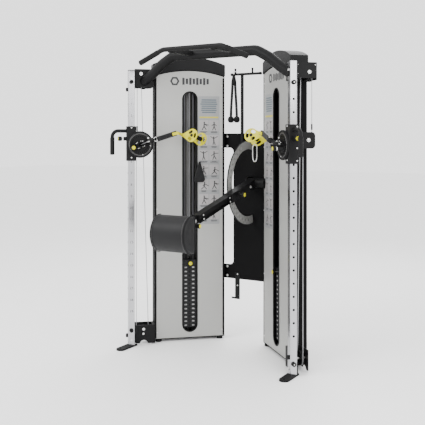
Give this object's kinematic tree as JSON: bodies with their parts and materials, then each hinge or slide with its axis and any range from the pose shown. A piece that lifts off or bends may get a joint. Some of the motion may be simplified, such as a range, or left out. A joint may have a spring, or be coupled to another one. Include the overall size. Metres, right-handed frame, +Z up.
{
  "type": "functional trainer",
  "caption": "Corner cable machine: splayed weight towers, chrome columns with sliding pulley carriages, chin bar and a swinging chest pad.",
  "frame": {"origin": "middle of the machine's footprint on the floor", "axes": "+Z up, +X to the right as seen by a user standing in front and facing the machine, +Y to the back"},
  "size_m": [1.6172, 1.1724, 2.273],
  "materials": {
    "silver_coat": "satin metallic",
    "black_coat": "satin powder coat",
    "chrome": "polished",
    "zinc": "bright",
    "stack_steel": "textured",
    "black_plastic": "moulded",
    "yellow_plastic": "gloss",
    "cable": "stranded",
    "rubber": "matt",
    "vinyl": "grained",
    "rope_black": "braided"
  },
  "bodies": {
    "frame": {"left_column": "chrome", "left_tower_frame": "black_coat", "left_tower_case": "black_coat", "left_front_shroud": "silver_coat", "left_top_bracket": "black_coat", "left_stack_cables": "cable", "left_upper_cable": "cable", "left_lower_cable": "cable", "right_column": "chrome", "right_tower_frame": "black_coat", "right_tower_case": "black_coat", "right_front_shroud": "silver_coat", "right_top_bracket": "black_coat", "right_stack_cables": "cable", "right_upper_cable": "cable", "right_lower_cable": "cable", "bottom_brackets": "black_coat", "cross_tube": "black_coat", "chin_bar": "black_coat", "back_panel": "black_coat", "sector_plate": "silver_coat", "accessory_rack": "black_coat", "top_caps": "black_plastic", "tower_top_pulleys": "black_plastic", "guide_rods": "chrome", "frame_bolts": "zinc", "weight_plates": "stack_steel", "fixed_cables": "cable", "column_feet": "rubber", "strap_handle": "rubber"},
    "left_stack": {"left_head_plate": "black_coat"},
    "left_selector_pin": {"left_selector_pin": "yellow_plastic"},
    "left_floating_pulley": {"left_floating_pulley": "black_plastic"},
    "left_carriage": {"left_carriage": "black_coat"},
    "left_pop_pin": {"left_pop_pin": "yellow_plastic"},
    "left_carriage_pulley": {"left_carriage_pulley": "black_plastic"},
    "left_swivel_yoke": {"left_swivel_yoke": "black_coat"},
    "left_swivel_pin": {"left_swivel_pin": "yellow_plastic"},
    "left_handle": {"left_handle_plates": "yellow_plastic", "left_handle_grip": "rubber"},
    "left_lift_pulley": {"left_lift_pulley": "black_plastic"},
    "left_bottom_pulley": {"left_bottom_pulley": "black_plastic"},
    "right_stack": {"right_head_plate": "black_coat"},
    "right_selector_pin": {"right_selector_pin": "yellow_plastic"},
    "right_floating_pulley": {"right_floating_pulley": "black_plastic"},
    "right_carriage": {"right_carriage": "black_coat"},
    "right_pop_pin": {"right_pop_pin": "yellow_plastic"},
    "right_carriage_pulley": {"right_carriage_pulley": "black_plastic"},
    "right_swivel_yoke": {"right_swivel_yoke": "black_coat"},
    "right_swivel_pin": {"right_swivel_pin": "yellow_plastic"},
    "right_handle": {"right_handle_plates": "yellow_plastic", "right_handle_grip": "rubber"},
    "right_lift_pulley": {"right_lift_pulley": "black_plastic"},
    "right_bottom_pulley": {"right_bottom_pulley": "black_plastic"},
    "arm": {"pad_arm": "black_coat"},
    "arm_pin": {"arm_pin": "yellow_plastic"},
    "pad": {"pad_board": "black_coat", "pad_cushion": "vinyl"},
    "pad_pin": {"pad_pin": "yellow_plastic"},
    "rope": {"rope": "rope_black"}
  },
  "joints": [
    {"name": "left_stack_lift", "type": "slide", "parent": "frame", "child": "left_stack", "axis": [0, 0, 1], "range_m": [0, 1.15], "deforming": ["left_stack_cables"]},
    {"name": "left_selector_pull", "type": "slide", "parent": "left_stack", "child": "left_selector_pin", "axis": [0.682, -0.7314, 0], "range_m": [0, 0.07]},
    {"name": "left_floating_pulley_spin", "type": "hinge", "parent": "left_stack", "child": "left_floating_pulley", "pos_m": [-0.43049, 0.34797, 0.76], "axis": [-0.7314, -0.682, 0], "continuous": true},
    {"name": "left_carriage_slide", "type": "slide", "parent": "frame", "child": "left_carriage", "axis": [0, 0, 1], "range_m": [-1.3335, 0.2667], "deforming": ["left_upper_cable", "left_lower_cable"]},
    {"name": "left_pop_pin_pull", "type": "slide", "parent": "left_carriage", "child": "left_pop_pin", "axis": [-0.7314, -0.682, 0], "range_m": [-0.01, 0]},
    {"name": "left_carriage_pulley_spin", "type": "hinge", "parent": "left_carriage", "child": "left_carriage_pulley", "pos_m": [-0.73057, 0.07005, 1.5946], "axis": [-0.7314, -0.682, 0], "continuous": true},
    {"name": "left_swivel_turn", "type": "hinge", "parent": "left_carriage", "child": "left_swivel_yoke", "pos_m": [-0.60481, -0.06481, 1.56], "axis": [-0.682, 0.7314, 0], "range_deg": [-45, 85]},
    {"name": "left_swivel_pin_pull", "type": "slide", "parent": "left_swivel_yoke", "child": "left_swivel_pin", "axis": [0.682, -0.7314, 0], "range_m": [-0.007, 0]},
    {"name": "left_handle_swing", "type": "hinge", "parent": "left_swivel_yoke", "child": "left_handle", "pos_m": [-0.53476, -0.07195, 1.57873], "axis": [0.682, -0.7314, 0], "range_deg": [-75, 20]},
    {"name": "left_lift_pulley_spin", "type": "hinge", "parent": "frame", "child": "left_lift_pulley", "pos_m": [-0.71936, 0.12782, 2.05], "axis": [0.682, -0.7314, 0], "continuous": true},
    {"name": "left_bottom_pulley_spin", "type": "hinge", "parent": "frame", "child": "left_bottom_pulley", "pos_m": [-0.68049, 0.06562, 0.084], "axis": [0.682, -0.7314, 0], "continuous": true},
    {"name": "right_stack_lift", "type": "slide", "parent": "frame", "child": "right_stack", "axis": [0, 0, 1], "range_m": [0, 1.15], "deforming": ["right_stack_cables"]},
    {"name": "right_selector_pull", "type": "slide", "parent": "right_stack", "child": "right_selector_pin", "axis": [-0.682, -0.7314, 0], "range_m": [0, 0.07]},
    {"name": "right_floating_pulley_spin", "type": "hinge", "parent": "right_stack", "child": "right_floating_pulley", "pos_m": [0.43049, 0.34797, 0.76], "axis": [0.7314, -0.682, 0], "continuous": true},
    {"name": "right_carriage_slide", "type": "slide", "parent": "frame", "child": "right_carriage", "axis": [0, 0, 1], "range_m": [-1.3335, 0.2667], "deforming": ["right_upper_cable", "right_lower_cable"]},
    {"name": "right_pop_pin_pull", "type": "slide", "parent": "right_carriage", "child": "right_pop_pin", "axis": [0.7314, -0.682, 0], "range_m": [-0.01, 0]},
    {"name": "right_carriage_pulley_spin", "type": "hinge", "parent": "right_carriage", "child": "right_carriage_pulley", "pos_m": [0.73057, 0.07005, 1.5946], "axis": [0.7314, -0.682, 0], "continuous": true},
    {"name": "right_swivel_turn", "type": "hinge", "parent": "right_carriage", "child": "right_swivel_yoke", "pos_m": [0.60481, -0.06481, 1.56], "axis": [-0.682, -0.7314, 0], "range_deg": [-45, 85]},
    {"name": "right_swivel_pin_pull", "type": "slide", "parent": "right_swivel_yoke", "child": "right_swivel_pin", "axis": [-0.682, -0.7314, 0], "range_m": [-0.007, 0]},
    {"name": "right_handle_swing", "type": "hinge", "parent": "right_swivel_yoke", "child": "right_handle", "pos_m": [0.53476, -0.07195, 1.57873], "axis": [0.682, 0.7314, 0], "range_deg": [-75, 20]},
    {"name": "right_lift_pulley_spin", "type": "hinge", "parent": "frame", "child": "right_lift_pulley", "pos_m": [0.71936, 0.12782, 2.05], "axis": [-0.682, -0.7314, 0], "continuous": true},
    {"name": "right_bottom_pulley_spin", "type": "hinge", "parent": "frame", "child": "right_bottom_pulley", "pos_m": [0.68049, 0.06562, 0.084], "axis": [-0.682, -0.7314, 0], "continuous": true},
    {"name": "arm_swing", "type": "hinge", "parent": "frame", "child": "arm", "pos_m": [0.095, 0.46483, 1.26], "axis": [1, 0, 0], "range_deg": [-40, 40]},
    {"name": "arm_pin_pull", "type": "slide", "parent": "arm", "child": "arm_pin", "axis": [1, 0, 0], "range_m": [-0.0049, 0]},
    {"name": "pad_tilt", "type": "hinge", "parent": "arm", "child": "pad", "pos_m": [0.095, -0.39797, 1.04168], "axis": [1, 0, 0], "range_deg": [-45, 45]},
    {"name": "pad_pin_pull", "type": "slide", "parent": "pad", "child": "pad_pin", "axis": [1, 0, 0], "range_m": [-0.0049, 0]},
    {"name": "rope_swing", "type": "hinge", "parent": "frame", "child": "rope", "pos_m": [-0.082, 0.50183, 2.128], "axis": [1, 0, 0], "range_deg": [-5, 1.5]}
  ],
  "couplings": [
    {"joint": "left_floating_pulley_spin", "follows": "left_stack_lift", "rad_per_m": -27.778},
    {"joint": "left_carriage_pulley_spin", "follows": "left_stack_lift", "rad_per_m": 57.803},
    {"joint": "left_lift_pulley_spin", "follows": "left_stack_lift", "rad_per_m": 42.017},
    {"joint": "left_bottom_pulley_spin", "follows": "left_carriage_slide", "rad_per_m": -21.008},
    {"joint": "right_floating_pulley_spin", "follows": "right_stack_lift", "rad_per_m": 27.778},
    {"joint": "right_carriage_pulley_spin", "follows": "right_stack_lift", "rad_per_m": -57.803},
    {"joint": "right_lift_pulley_spin", "follows": "right_stack_lift", "rad_per_m": -42.017},
    {"joint": "right_bottom_pulley_spin", "follows": "right_carriage_slide", "rad_per_m": 21.008}
  ]
}
